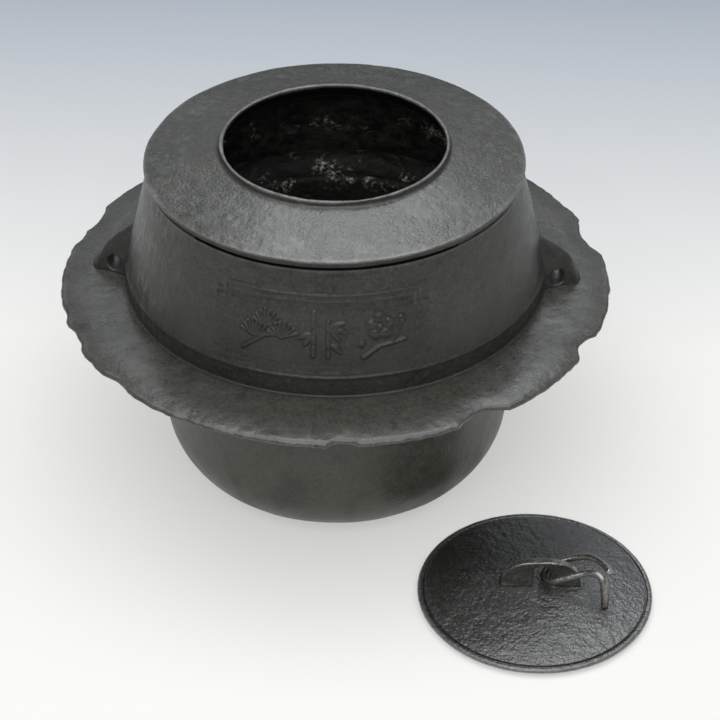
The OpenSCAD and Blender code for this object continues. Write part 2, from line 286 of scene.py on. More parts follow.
# Lumps of the skins: size and height of each kind, in millimetres
CAST_SKIN = {26: 0.30, 9: 0.16, 3.2: 0.10, 1.9: 0.05}
EDGE_TEETH = {5: 0.5, 2.2: 0.25}
FLANGE_SAG = {38: 0.3}
CHAMBER_LUMPS = {14: 0.35, 5: 0.2}
LEDGE_LUMPS = {6: 0.7, 3: 0.4}
GLINT_NOISE = {3.4: 0.6, 1.9: 0.5, 11: 0.35}
BOWL_SKIN = {40: 0.35, 12: 0.16, 4: 0.06}
BLOTCHES = {17: 0.5, 6: 0.2}
SLANTED_BLOTCHES = {13: 0.5, 5: 0.2}
PUTTY_SKIN = {9: 0.6, 4: 0.5, 2: 0.25}
LUG_SKIN = {7: 0.25, 3: 0.12}
LID_SKIN = {30: 0.22, 8: 0.12, 4: 0.09, 2.4: 0.12}
BACK_SHADE_EDGE = {22: 14, 9: 7}
STAPLE_SKIN = {6: 0.18, 2.5: 0.08}
# Share of the cast skin on smoother faces, and of the lid's off its dome
SMOOTHER_SKIN = 0.65
LID_RIM_SKIN = 0.45
# A turn in space, for noises that are to show no square corners
SLANT = np.array([[0.8, 0.36, 0.48], [-0.6, 0.48, 0.64], [0.0, -0.8, 0.6]])

# Camera: place in millimetres, angles in degrees, lens and sensor in millimetres
CAMERA_PLACE = (71.5, -999.6, 796.45)
CAMERA_PITCH = 36.35
CAMERA_YAW = 3.35
CAMERA_LENS = 113.62
CAMERA_SENSOR = 36.0


# Noise

HASH = np.array([374761393, 668265263, 974634541], np.uint64)
HASH_MASK = np.uint64(0xFFFFFFFF)


def lattice(cell, seed):
    """Repeatable values from 0 to 1 at whole-number places."""
    h = (cell.astype(np.uint64) * HASH).sum(-1)
    h = (h + np.uint64(seed * 362437 + 1)) & HASH_MASK
    h = ((h ^ (h >> np.uint64(13))) * np.uint64(1274126177)) & HASH_MASK
    return ((h ^ (h >> np.uint64(16))) & np.uint64(0xFFFF)).astype(float) / 0xFFFF


def noise(points, size, seed=0):
    """Smooth noise from -1 to 1 over points, with lumps of about the given size."""
    q = points / size + 1000.0
    cell = np.floor(q)
    f = q - cell
    f = f * f * (3 - 2 * f)
    total = np.zeros(points.shape[:-1])
    for corner in range(8):
        step = np.array([corner & 1, corner >> 1 & 1, corner >> 2])
        total += np.prod(np.where(step, f, 1 - f), axis=-1) * lattice(cell + step, seed)
    return 2 * total - 1


def rough(points, sizes, seed=0):
    """Sum of noises: sizes maps a lump size to its height."""
    return sum(height * noise(points, size, seed + i) for i, (size, height) in enumerate(sizes.items()))


def patchy(points, size, seed):
    """Share of the wear that shows, from 0.3 to 1, in patches of about the given size."""
    return np.clip(0.65 + 0.35 * noise(points, size, seed), 0, 1)


def rise(x, start, width):
    """0 below the start, 1 past the width, and a smooth rise between."""
    t = np.clip((x - start) / width, 0.0, 1.0)
    return t * t * (3 - 2 * t)


# Outlines and meshes

def unit(v):
    """Vectors brought to length 1."""
    return v / np.linalg.norm(v, axis=-1, keepdims=True)


def off_by(turn, direction):
    """Degrees from a direction, between -180 and 180."""
    return (turn - direction + 540) % 360 - 180


def placed(points, degrees, x0, y0):
    """Points turned about the Z axis, then moved level."""
    c, s = math.cos(math.radians(degrees)), math.sin(math.radians(degrees))
    x, y, z = np.moveaxis(np.asarray(points), -1, 0)
    return np.stack([x0 + c * x - s * y, y0 + s * x + c * y, z], -1)


def rounded(corners, closed=True):
    """Points along straight lines with rounded corners.

    Each corner is (across, up, rounding, spacing, zone, wear): spacing and zone are those of the line that
    follows it, and wear, which may be left out, that of the corner itself. Returns points, zones and wear.
    """
    corners = [(*corner, 0.0)[:6] for corner in corners]
    places = np.array([c[:2] for c in corners], float)
    n = len(corners)
    arcs = []
    for i, (_, _, rounding, spacing, _, _) in enumerate(corners):
        here = places[i]
        if rounding == 0 or (not closed and i in (0, n - 1)):
            arcs.append(here[None])
            continue
        back = unit(places[i - 1] - here)
        on = unit(places[(i + 1) % n] - here)
        half = math.acos(np.clip(back @ on, -1, 1)) / 2
        centre = here + unit(back + on) * rounding / math.sin(half)
        start = here + back * rounding / math.tan(half) - centre
        end = here + on * rounding / math.tan(half) - centre
        turn = math.pi - 2 * half
        count = max(3, math.ceil(turn * rounding / min(spacing, 0.35 * rounding)))
        t = np.linspace(0, 1, count + 1)[:, None]
        arcs.append(centre + (np.sin((1 - t) * turn) * start + np.sin(t * turn) * end) / math.sin(turn))
    points, zones, wear = [], [], []
    for i, (_, _, _, spacing, zone, worn) in enumerate(corners):
        straight = []
        if closed or i < n - 1:
            a, b = arcs[i][-1], arcs[(i + 1) % n][0]
            count = math.ceil(np.linalg.norm(b - a) / spacing)
            straight = [a + (b - a) * k / count for k in range(1, count)]
        points += [*arcs[i], *straight]
        zones += [zone] * (len(arcs[i]) + len(straight))
        wear += [worn] * len(arcs[i]) + [0.0] * len(straight)
    return np.array(points), np.array(zones), np.array(wear)


def outward(points, closed=True):
    """Outward directions of an outline that runs anticlockwise."""
    if closed:
        way = np.roll(points, -1, 0) - np.roll(points, 1, 0)
    else:
        way = np.gradient(points, axis=0)
    way = unit(way)
    return np.stack([way[:, 1], -way[:, 0]], 1)


def spread(values, points, reach):
    """Values at the points of an outline, spread to their neighbours over the given reach."""
    gap = np.linalg.norm(points[:, None] - points[None], axis=-1)
    near = np.exp(-(gap / reach) ** 2)
    return (np.maximum(values, 0)[None] * near).max(1) - (np.maximum(-values, 0)[None] * near).max(1)


def grid_faces(rows, columns, close_rows):
    """Quads over a grid of points whose columns close round, and whose rows may."""
    i, j = np.divmod(np.arange((rows if close_rows else rows - 1) * columns), columns)
    i1, j1 = (i + 1) % rows, (j + 1) % columns
    return np.stack([i * columns + j, i * columns + j1, i1 * columns + j1, i1 * columns + j], 1)


def new_piece(name, points, faces, turn_out=False):
    """A smooth-shaded object from points in millimetres."""
    mesh = bpy.data.meshes.new(name)
    mesh.from_pydata((np.asarray(points) * MM).tolist(), [], [list(map(int, f)) for f in faces])
    if turn_out:
        shell = bmesh.new()
        shell.from_mesh(mesh)
        bmesh.ops.recalc_face_normals(shell, faces=shell.faces)
        shell.to_mesh(mesh)
        shell.free()
    mesh.shade_smooth()
    piece = bpy.data.objects.new(name, mesh)
    bpy.context.scene.collection.objects.link(piece)
    return piece


def assign(thing, **settings):
    """Gives a thing its settings."""
    for key, value in settings.items():
        setattr(thing, key, value)
    return thing


def move_points(piece, points):
    """Puts a piece's points at new places, in millimetres."""
    piece.data.vertices.foreach_set("co", (points * MM).ravel())
    piece.data.shade_smooth()


def set_layer(piece, name, values):
    """Stores a number at each point for the materials."""
    layer = piece.data.attributes.new(name, "FLOAT", "POINT")
    layer.data.foreach_set("value", np.asarray(values, np.float32).ravel())


def set_wear(piece, values, grit=1.0):
    """Stores each point's wear, and how much of the material's grain shows there."""
    set_layer(piece, "wear", values)
    set_layer(piece, "grit", np.broadcast_to(grit, np.shape(values)))


def set_kinds(piece, kinds):
    """Stores the number of each face's material."""
    piece.data.polygons.foreach_set("material_index", kinds.ravel().astype(np.int32))


def around(r, z, a):
    """Points at a radius, a height and an angle in radians."""
    return np.stack([r * np.cos(a), r * np.sin(a), z], -1)


def pushed(r, z, height, normals):
    """Radii and heights moved along the outward directions of their outline."""
    return r + height * normals[:, :1], z + height * normals[:, 1:]


def turned(name, outline, angles, lift, poles=False):
    """A turned piece from an outline of (radius, height) points, which lift(r, z, angle) moves."""
    r, a = np.meshgrid(outline[:, 0], np.radians(angles), indexing="ij")
    z = np.broadcast_to(outline[:, 1:], r.shape)
    grid = around(*lift(r, z, a), a)
    rows, columns = r.shape
    if not poles:
        return new_piece(name, grid.reshape(-1, 3), grid_faces(rows, columns, True)), grid
    # The first and the last row lie on the axis and become one point each
    body = grid[1:-1].reshape(-1, 3)
    first, last = len(body), len(body) + 1
    here = np.arange(columns)
    after = (here + 1) % columns
    base = (rows - 3) * columns
    faces = list(grid_faces(rows - 2, columns, False))
    faces += [(first, after[j], j) for j in here]
    faces += [(base + j, base + after[j], last) for j in here]
    points = np.vstack([body, grid[0].mean(0), grid[-1].mean(0)])
    return new_piece(name, points, faces), points


def with_noise(normals, sizes, seed):
    """A lift that only roughens a turned piece along its outward directions."""
    def lift(r, z, a):
        return pushed(r, z, rough(around(r, z, a), sizes, seed), normals)
    return lift


def finish_piece(piece, body, node, slot, *materials):
    """Gives a piece its materials and its body, and hides the solid that it stands for; slot is not used."""
    for material in materials:
        piece.data.materials.append(material)
    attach(piece, body)
    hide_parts(node)


# Materials; a socket's id_data is the node tree that it belongs to

def feed(node, values):
    """Sets a node's sockets: another node's output is linked, anything else is a fixed value."""
    for key, value in values.items():
        if isinstance(value, bpy.types.NodeSocket):
            node.id_data.links.new(value, node.inputs[key])
        else:
            node.inputs[key].default_value = value


def add(tree, kind, values=None, **settings):
    """A shader node with its settings and the values of its sockets."""
    node = assign(tree.nodes.new("ShaderNode" + kind), **settings)
    feed(node, values or {})
    return node


def new_material(name):
    """A material with its tree, its shader and the place on the object that its noises follow."""
    material = bpy.data.materials.new(name)
    material.use_nodes = True
    tree = material.node_tree
    return material, tree, tree.nodes["Principled BSDF"], add(tree, "TexCoord").outputs["Object"]


def stored(tree, name):
    """A number that set_layer has stored."""
    return add(tree, "Attribute", attribute_name=name).outputs["Fac"]


def noise_node(place, size_mm, detail=4.0, roughness=0.6):
    """Noise with lumps of about the given size."""
    values = {"Vector": place, "Scale": 1 / (size_mm * MM), "Detail": detail, "Roughness": roughness}
    return add(place.id_data, "TexNoise", values).outputs["Fac"]


def ramp(source, lowest, highest, to_low=0.0, to_high=1.0):
    """Maps a range of a value to another, clamped."""
    values = {"Value": source, "From Min": lowest, "From Max": highest, "To Min": to_low, "To Max": to_high}
    return add(source.id_data, "MapRange", values, clamp=True).outputs["Result"]


def mix(amount, a, b, way="MIX"):
    """A mix of two colours; either may be a fixed colour or another node's output."""
    a, b = [(*colour, 1) if isinstance(colour, tuple) else colour for colour in (a, b)]
    values = {"Factor": amount, 6: a, 7: b}
    return add(amount.id_data, "Mix", values, data_type="RGBA", blend_type=way).outputs[2]


def maths(operation, a, b=0.0):
    """One sum over another node's output and a second one or a number."""
    return add(a.id_data, "Math", {0: a, 1: b}, operation=operation).outputs[0]


def times(a, b):
    """Product of two values."""
    return maths("MULTIPLY", a, b)


def weighed(*parts):
    """Sum of values times their weights."""
    total = None
    for value, weight in parts:
        part = times(value, weight)
        total = maths("ADD", total, part) if total else part
    return total


def bumps(height, depth_mm, under=None):
    """Normals roughened by a height from 0 to 1, on top of other normals."""
    node = add(height.id_data, "Bump", {"Strength": 1.0, "Distance": depth_mm * MM, "Height": height})
    if under:
        feed(node, {"Normal": under})
    return node.outputs["Normal"]


# Old iron, sizes in millimetres: broad mottling, warm and rusty patches, pale upright runs
BROAD_MM = 34
WARM_MM = 10
RUST_MM = 16
RUN_MM = 2.6
# How much runs are drawn out, and the size of the pebbles beside that of the grain
RUN_SQUASH = 0.09
PEBBLE = 1.3
# Strengths of the warm patches, the pale grains and the rust
WARMTH = 0.35
PALE_GRAINS = 0.35
RUSTINESS = 0.7
# What wear and painted highlights, and grime and painted shade, add to the roughness, and that of the clear
# skin
WEAR_AND_HIGHLIGHT_DULLS = -0.12
GRIME_AND_SHADE_DULLS = 0.25
VARNISH_ROUGHNESS = 0.2
# Near black of grime and of painted shade
GRIME_AND_SHADE = (0.006, 0.006, 0.005)
WARM = (1.16, 0.98, 0.84)


def iron(name, dark, light, worn, rust, gloss, grain_mm, grain_depth_mm, lump_mm, lump_depth_mm,
         sheen=0.6, metal=0.0, varnish=0.0):
    """Old iron: mottled skin, faint rust, lumps and grain, edges paler from handling and painted highlights,
    corners darker from grime and painted shade.

    gloss is the roughness of the smoothest and of the dullest spots; metal is 1 for bare bright iron, and
    varnish how much of a clear skin lies on it.
    """
    material, tree, shader, place = new_material(name)
    wear, streak, grit = [stored(tree, key) for key in ("wear", "streak", "grit")]
    broad = noise_node(place, BROAD_MM, 3)
    middle = noise_node(place, lump_mm, 5, 0.65)
    fine = noise_node(place, grain_mm, 3)

    mottle = weighed((broad, 0.3), (middle, 0.3), (fine, 0.4))
    colour = mix(ramp(mottle, 0.37, 0.61), dark, light)
    warmth = ramp(noise_node(place, WARM_MM, 4, 0.65), 0.44, 0.66, 0.0, WARMTH)
    colour = mix(warmth, colour, WARM, "MULTIPLY")
    pale_grains = times(grit, ramp(fine, 0.58, 0.72, 0.0, PALE_GRAINS))
    rusty = times(ramp(noise_node(place, RUST_MM, 6, 0.7), 0.56, 0.74), ramp(fine, 0.42, 0.62))
    upright = add(tree, "Mapping", {"Vector": place, "Scale": (1, 1, RUN_SQUASH)}).outputs["Vector"]
    runs = times(streak, ramp(noise_node(upright, RUN_MM), 0.48, 0.66))
    # Wear above 0 pales and smooths, below 0 darkens: from handling and grime, and from painted highlights
    # and painted shade
    wear_and_highlight = times(ramp(wear, 0, 1), ramp(middle, 0.32, 0.56, 0.4, 1.0))
    grime_and_shade = times(ramp(wear, 0, -1), ramp(middle, 0.3, 0.6, 0.65, 1.0))
    for amount, tint in ((pale_grains, worn), (times(rusty, RUSTINESS), rust), (runs, worn), (wear_and_highlight, worn),
                         (grime_and_shade, GRIME_AND_SHADE)):
        colour = mix(amount, colour, tint)

    dull = ramp(weighed((middle, 0.5), (fine, 0.5)), 0.36, 0.64, *gloss)
    dull = weighed((dull, 1.0), (wear_and_highlight, WEAR_AND_HIGHLIGHT_DULLS), (grime_and_shade, GRIME_AND_SHADE_DULLS))
    pebbles = add(tree, "TexVoronoi", {"Vector": place, "Scale": 1 / (PEBBLE * grain_mm * MM)})
    grains = times(weighed((fine, 0.75), (pebbles.outputs["Distance"], -0.3)), grit)
    skin = bumps(grains, grain_depth_mm, bumps(middle, lump_depth_mm))
    feed(shader, {"Base Color": colour, "Roughness": dull, "Normal": skin, "Coat Normal": skin,
                  "Specular IOR Level": sheen, "Metallic": metal, "Coat Weight": varnish,
                  "Coat Roughness": VARNISH_ROUGHNESS})
    return material


# Inside: sizes of its lumps, grain and clusters of scale in millimetres, and its colours
CHAMBER_LUMP_MM = 7
CHAMBER_GRAIN_MM = 2.6
SCALE_MM = 19
CHAMBER_DARK = (0.010, 0.010, 0.0095)
CHAMBER_LIGHT = (0.044, 0.043, 0.040)
SCALE_AND_GLINT_WHITE = (0.55, 0.55, 0.52)
# Heights where scale has settled, and how far from them it is thick and ends
SCALE_LINES = (152.0, 121.0)
SCALE_NEAR = 2.0
SCALE_FAR = 9.0


def chamber_iron(name):
    """Inside of the kettle: black, lumpy and glossy, with specks of pale scale from boiled water that also
    stand in for glints.
    """
    material, tree, shader, place = new_material(name)
    middle = noise_node(place, CHAMBER_LUMP_MM)
    fine = noise_node(place, CHAMBER_GRAIN_MM, 3, 0.7)
    # Where wear is below 0, grime and painted shade darken it
    grime_and_shade = ramp(stored(tree, "wear"), 0, -1)
    # Scale gathers along the water line and in the seam, its specks painted also as glints
    up = add(tree, "SeparateXYZ", {0: place}).outputs["Z"]
    bands = []
    for line in SCALE_LINES:
        off = maths("ABSOLUTE", maths("SUBTRACT", up, line * MM))
        bands.append((ramp(off, SCALE_NEAR * MM, SCALE_FAR * MM, 1.0, 0.0), 1.0))
    clusters = ramp(noise_node(place, SCALE_MM, 2), 0.52, 0.62)
    settled_scale = times(clusters, weighed(*bands))
    specks = times(ramp(fine, 0.50, 0.66), settled_scale)
    colour = mix(ramp(middle, 0.35, 0.65), CHAMBER_DARK, CHAMBER_LIGHT)
    colour = mix(grime_and_shade, colour, GRIME_AND_SHADE)
    colour = mix(specks, colour, SCALE_AND_GLINT_WHITE)
    dull = weighed((ramp(middle, 0.35, 0.65, 0.10, 0.28), 1.0), (grime_and_shade, 0.5))
    skin = bumps(fine, 0.6, bumps(middle, 2.2))
    feed(shader, {"Base Color": colour, "Roughness": dull, "Normal": skin})
    return material


BODY_IRON = iron("body_iron", (0.019, 0.0195, 0.0165), (0.048, 0.050, 0.043), (0.15, 0.153, 0.148),
                 (0.060, 0.042, 0.033), (0.23, 0.36), 1.4, 0.30, 6.0, 0.16)
WALL_IRON = iron("wall_iron", (0.0175, 0.0185, 0.0150), (0.043, 0.0455, 0.038), (0.15, 0.153, 0.148),
                 (0.056, 0.042, 0.032), (0.26, 0.44), 1.7, 0.45, 6.0, 0.35, sheen=0.40)
# Near black, for painted shade in the throat and a painted shadow under the shoulder's edge
PAINTED_SHADE_IRON = iron("painted_shade_iron", (0.002, 0.002, 0.002), (0.005, 0.005, 0.0045), (0.012, 0.012, 0.011),
                 (0.006, 0.005, 0.004), (0.70, 0.85), 1.7, 0.4, 6.0, 0.5, sheen=0.04)
BOWL_IRON = iron("bowl_iron", (0.0255, 0.0263, 0.0200), (0.0605, 0.062, 0.048), (0.12, 0.12, 0.11),
                 (0.056, 0.042, 0.032), (0.30, 0.46), 1.5, 0.20, 8.0, 0.4, sheen=0.5)
LID_IRON = iron("lid_iron", (0.010, 0.0105, 0.010), (0.040, 0.041, 0.040), (0.15, 0.153, 0.156),
                (0.042, 0.033, 0.028), (0.10, 0.24), 1.7, 0.48, 6.0, 0.65, sheen=1.0, varnish=0.8)
FORGED_IRON = iron("forged_iron", (0.08, 0.08, 0.077), (0.26, 0.26, 0.25), (0.50, 0.50, 0.49),
                   (0.10, 0.092, 0.085), (0.20, 0.36), 1.1, 0.14, 4.0, 0.25, metal=0.85)
PLATE_IRON = iron("plate_iron", (0.028, 0.024, 0.021), (0.085, 0.074, 0.064), (0.10, 0.09, 0.08),
                  (0.075, 0.047, 0.032), (0.40, 0.62), 1.5, 0.4, 5.0, 0.5)
PUTTY = iron("lacquer_putty", (0.008, 0.0075, 0.007), (0.022, 0.020, 0.018), (0.05, 0.046, 0.042),
             (0.024, 0.020, 0.017), (0.70, 0.90), 2.0, 0.4, 6.0, 0.5, sheen=0.05)
CHAMBER = chamber_iron("chamber_iron")


# Motifs of the panel, drawn in millimetres about their middles

def stroke(u, v, a, b, half_width):
    """How far places lie inside a straight stroke from a to b, from 0 at its edge to 1 at its middle."""
    a, b = np.array(a, float), np.array(b, float)
    way = b - a
    t = np.clip(((u - a[0]) * way[0] + (v - a[1]) * way[1]) / (way @ way), 0, 1)
    gap = np.hypot(u - a[0] - t * way[0], v - a[1] - t * way[1])
    return np.clip(1 - gap / half_width, 0, 1)


def leaf(u, v, root, direction, length, half_width):
    """How far places lie inside a pointed leaf."""
    c, s = math.cos(math.radians(direction)), math.sin(math.radians(direction))
    along = ((u - root[0]) * c + (v - root[1]) * s) / length
    across = np.abs((v - root[1]) * c - (u - root[0]) * s)
    width = half_width * np.sin(math.pi * np.clip(along, 0, 1)) + 1e-6
    return np.clip(1 - across / width, 0, 1) * ((along > 0) & (along < 1))


def disc(u, v, centre, radius):
    """How far places lie inside a round spot."""
    return np.clip(1 - np.hypot(u - centre[0], v - centre[1]) / radius, 0, 1)


def pine(u, v):
    """A pine sprig: a twig with three fans of needles."""
    shapes = [stroke(u, v, (-11, -11), (-1, -3), 1.5), stroke(u, v, (-1, -3), (9, -1), 1.2)]
    for x, y in ((-6, -4), (0, 2), (8, -3)):
        for direction in range(20, 161, 20):
            c, s = math.cos(math.radians(direction)), math.sin(math.radians(direction))
            shapes.append(stroke(u, v, (x, y), (x + 7.5 * c, y + 8 * s), 0.95))
    return np.maximum.reduce(shapes)


def plum(u, v):
    """A plum blossom with two buds on a twig."""
    shapes = [stroke(u, v, (-10, -12), (-2, -7), 1.5), stroke(u, v, (-2, -7), (11, -5), 1.2),
              stroke(u, v, (4, -6), (10, 4), 1.0), disc(u, v, (10, 5.5), 2.6), disc(u, v, (-10.5, -5), 2.3)]
    for k in range(5):
        petal = math.radians(90 + 72 * k)
        shapes.append(disc(u, v, (-1 + 4.4 * math.cos(petal), 3 + 4.4 * math.sin(petal)), 3.6))
    return np.maximum(np.maximum.reduce(shapes) * (1 - disc(u, v, (-1, 3), 3.0)), disc(u, v, (-1, 3), 1.7))


def bamboo(u, v):
    """Two bamboo stems with their joints and a spray of leaves."""
    shapes = []
    for foot, joints in ((-4.5, (-12, -5, 3, 12)), (2.5, (-12, -7, 1, 8))):
        for bottom, top in zip(joints[:-1], joints[1:]):
            shapes.append(stroke(u, v, (foot, bottom + 1.1), (foot, top - 1.1), 1.5))
    for x, y, direction, length in ((3, 4, -20, 10), (3, 4, -55, 10), (3, 4, 15, 9), (-5, 1, 205, 9),
                                    (-5, 1, 240, 9), (3, -4, -40, 9)):
        shapes.append(leaf(u, v, (x, y), direction, length, 1.9))
    return np.maximum.reduce(shapes)


# Motifs and how far along the panel they stand
MOTIFS = ((pine, -27.0), (bamboo, 1.0), (plum, 30.0))


def panel_relief(angle, height):
    """The panel's relief and its wear, at angles in radians and heights above the flange: painted highlights
    on the frame's lines and the motifs' tops, painted shade in the grooves and about the motifs, and a
    darker sunken field.
    """
    u = np.radians(off_by(np.degrees(angle), PANEL_FRONT)) * PANEL_R
    v = height - (PANEL_LOW + PANEL_HIGH) / 2
    half = math.radians(PANEL_HALF_ANGLE) * PANEL_R
    tall = (PANEL_HIGH - PANEL_LOW) / 2
    wide_block = np.maximum(np.abs(u) - half, np.abs(v) - tall + PANEL_NOTCH)
    tall_block = np.maximum(np.abs(u) - half + PANEL_NOTCH, np.abs(v) - tall)
    outside = np.minimum(wide_block, tall_block)
    # The frame is worn: its upper lines stand clear, its lower and upright ones have nearly gone
    level = rise(np.abs(v), tall - PANEL_NOTCH - 2, 3) * np.where(v > 0, 1.0, LOWER_LEFT)
    patches = 0.75 + 0.25 * noise(np.stack([u, v, 0 * u], -1), 13, seed=33)
    left = (UPRIGHT_LEFT + (1 - UPRIGHT_LEFT) * level) * patches
    relief = -PANEL_DEPTH * rise(-outside, -PANEL_EDGE_W / 2, PANEL_EDGE_W) * SINK_LEFT * (1 + level)
    line, groove = np.zeros_like(u), np.zeros_like(u)
    for place in (PANEL_LINE_OUT, PANEL_LINE_OUT - PANEL_LINE_GAP):
        line += left * np.exp(-((outside - place) / PANEL_LINE_W) ** 2)
        groove += left * np.exp(-((outside - place + PANEL_GROOVE_IN) / PANEL_LINE_W) ** 2)
    relief += PANEL_LINE_H * (line - PANEL_GROOVE * groove)
    figure = np.zeros_like(u)
    for motif, centre in MOTIFS:
        near = np.abs(u - centre) < MOTIF_HALF_W
        figure[near] = np.maximum(figure[near], motif(u[near] - centre, v[near]))
    relief += RELIEF_H * rise(figure, 0, 0.75)
    flank = (figure > 0) * (1 - rise(figure, 0, 0.5))
    # Painted highlights on the lines and the motifs' tops, painted shade in the grooves and on the motifs'
    # flanks
    wear = 0.25 * line - 0.45 * groove + 0.1 * rise(figure, 0.5, 0.4) - flank
    return relief, wear - 0.15 * rise(-outside, 0, PANEL_EDGE_W)


# Upper casting

def edge_at(angle):
    """Radius of the flange's edge in the given directions, in radians."""
    turn = np.degrees(angle)
    bite = np.zeros_like(turn)
    for direction, half_width, depth in CHIPS:
        off = np.abs(off_by(turn, direction)) / half_width
        bite = np.maximum(bite, depth * np.maximum(0, 1 - off ** 2))
    swell = np.cos(EDGE_SWELL_N * angle + math.radians(EDGE_SWELL_TURN))
    wave = EDGE_WAVE * (1 + np.sin(EDGE_WAVE_N * angle) * swell)
    return FLANGE_R - FLANGE_SHIFT * np.sin(angle) - wave - bite


def upper_casting():
    """Lip, shoulder, wall with its panel, bead, foot band and ragged flange, hollow inside."""
    ceiling = SHOULDER_TOP - WALL_T
    edge_r = WALL_TOP_R + SHOULDER_OVERHANG
    # Wear at the corners: the flange's, shoulder's and lip's arrises are paler from handling and a painted
    # highlight, the line under the groove is a painted highlight, and painted shade darkens the foot of the
    # wall, the lip's foot, the shoulder's edge, the throat and the inside
    outline, zones, wear = rounded([
        (SEAT_R + SEAM_FILLET, FLANGE_LOW, 0.5, 2.4, "under"),
        (FLANGE_R, FLANGE_LOW, 1.4, 1.0, "edge"),
        (FLANGE_R, FLANGE_Z, 2.0, 1.2, "flange", 0.35),
        (WALL_FOOT_R, FLANGE_Z, 1.2, 0.8, "band", -0.5),
        (WALL_FOOT_R, BAND_TOP, 0, 0.55, "wall"),
        (WALL_TOP_R + WALL_SLOPE * EAVE_LINE, WALL_TOP - EAVE_LINE, 0, 0.4, "wall", 0.5),
        (WALL_TOP_R + WALL_SLOPE * EAVE_START, WALL_TOP - EAVE_START, 0, 0.4, "eave"),
        (WALL_TOP_R - EAVE_DEPTH, WALL_TOP - EAVE_BOTTOM, 0.4, 0.4, "eave"),
        (edge_r - RIM_TUCK, WALL_TOP + RIM_LIFT, 0.4, 0.4, "rim", -1.0),
        (edge_r - RIM_LEAN, SHOULDER_TOP - RIM_SHADE_DROP, 0, 0.4, "rim", -0.8),
        (edge_r, SHOULDER_TOP, 0.5, 0.8, "shoulder", 1.0),
        (LIP_R, LIP_FOOT, 1.7, 0.6, "lip", -0.4),
        (LIP_R, LIP_TOP, 0.6, 0.6, "lip", 1.0),
        (MOUTH_R, LIP_TOP, 0.8, 0.6, "lip", 0.9),
        (MOUTH_R + THROAT_TOP_OUT, LIP_TOP - LIP_INSIDE_H, 0, 1.2, "throat", -1.0),
        (MOUTH_R + THROAT_FOOT_OUT, LIP_FOOT - WALL_T, 1.0, 2.4, "inside", -1.0),
        (WALL_TOP_R - WALL_T, ceiling, 3.0, 2.0, "inside"),
        (WALL_FOOT_R - WALL_T, BAND_TOP, 3.0, 2.0, "inside"),
        (WALL_FOOT_R - WALL_T, FLANGE_Z, 9.0, 2.0, "inside"),
        (SEAT_R, FLANGE_Z, 0.4, 1.0, "seat"),
        (SEAT_R, FLANGE_LOW + SEAM_FILLET, 0.3, 1.0, "seat"),
    ])
    normals = outward(outline)
    up = outline[:, 1:]
    angles = np.concatenate([
        np.arange(PANEL_FRONT - FRONT_HALF, PANEL_FRONT + FRONT_HALF, FRONT_STEP),
        np.arange(PANEL_FRONT + FRONT_HALF, PANEL_FRONT + 360 - FRONT_HALF, REST_STEP),
    ])

    def zone(*names):
        """Whether each row of the outline lies in one of the named zones."""
        return np.isin(zones, names)[:, None]

    inner = zone("throat", "inside", "seat")
    bead = BEAD_H * np.exp(-((up - BAND_TOP) / BEAD_SPREAD) ** 2) * zone("band", "wall")

    def lift(r, z, a):
        points = around(r, z, a)
        on_flange = z < FLANGE_Z + 0.1
        # The ragged edge draws in the outer part of the flange, above and below alike
        edge = edge_at(a) + rough(points * [1, 1, 0.4], EDGE_TEETH, seed=40)
        outer = rise(r, WALL_FOOT_R + EDGE_FROM, FLANGE_W - EDGE_FROM)
        outer = outer * on_flange * (r > WALL_FOOT_R)
        droop = np.clip((r - FLANGE_R + FLANGE_DROOP_W) / FLANGE_DROOP_W, 0, 1) ** 2
        droop = droop * (z - FLANGE_LOW) / FLANGE_T
        z = z - FLANGE_DROOP * droop * on_flange
        r = r + outer * (edge - FLANGE_R)
        skin = rough(points, CAST_SKIN, seed=3)
        skin = skin * np.where(zone("wall", "band", "flange", "shoulder"), SMOOTHER_SKIN, 1.0)
        wall = zone("wall") * rise(z, BAND_TOP, 2)
        height = skin + bead + wall * panel_relief(a, z - FLANGE_Z)[0]
        # The upper face of the flange sags and swells a little more than the rest
        sag = rough(points, FLANGE_SAG, seed=8) * rise(r, SAG_FROM, SAG_FADE)
        height = height + zone("flange") * sag
        lumpy = rough(points, CHAMBER_LUMPS, seed=12) + (z < BAND_TOP) * rough(points, LEDGE_LUMPS, seed=14)
        return pushed(r, z, np.where(inner, lumpy, height), normals)

    piece, grid = turned("upper_body", outline, angles, lift)
    worn = np.repeat(spread(wear, outline, CORNER_REACH)[:, None], len(angles), 1)
    # A painted highlight pales the bead
    worn = worn + BEAD_HIGHLIGHT * bead / BEAD_H * (worn >= 0)
    # The wall darkens towards its foot, and its panel carries painted highlights and painted shade
    toward_foot = 1 - rise(up, FLANGE_Z, FOOT_DARKENING_H)
    panel_highlight_and_shade = panel_relief(*np.broadcast_arrays(np.radians(angles)[None], up - FLANGE_Z))[1]
    worn = worn + zone("wall") * (panel_highlight_and_shade - FOOT_DARKENING * toward_foot)
    # A painted shadow darkens the groove under the shoulder's edge, and the flange is made a little paler
    # all over
    worn = worn - zone("eave") + FLANGE_PALING * zone("flange")
    # Painted glints: pale spots on the shoulder, most of them near its edge
    glints = rise(rough(grid, GLINT_NOISE, seed=64), 0.12, 0.4)
    near_edge = rise(outline[:, :1], LIP_R + GLINTS_FROM, GLINTS_FADE)
    worn = worn + SHOULDER_GLINTS * glints * near_edge * zone("shoulder")
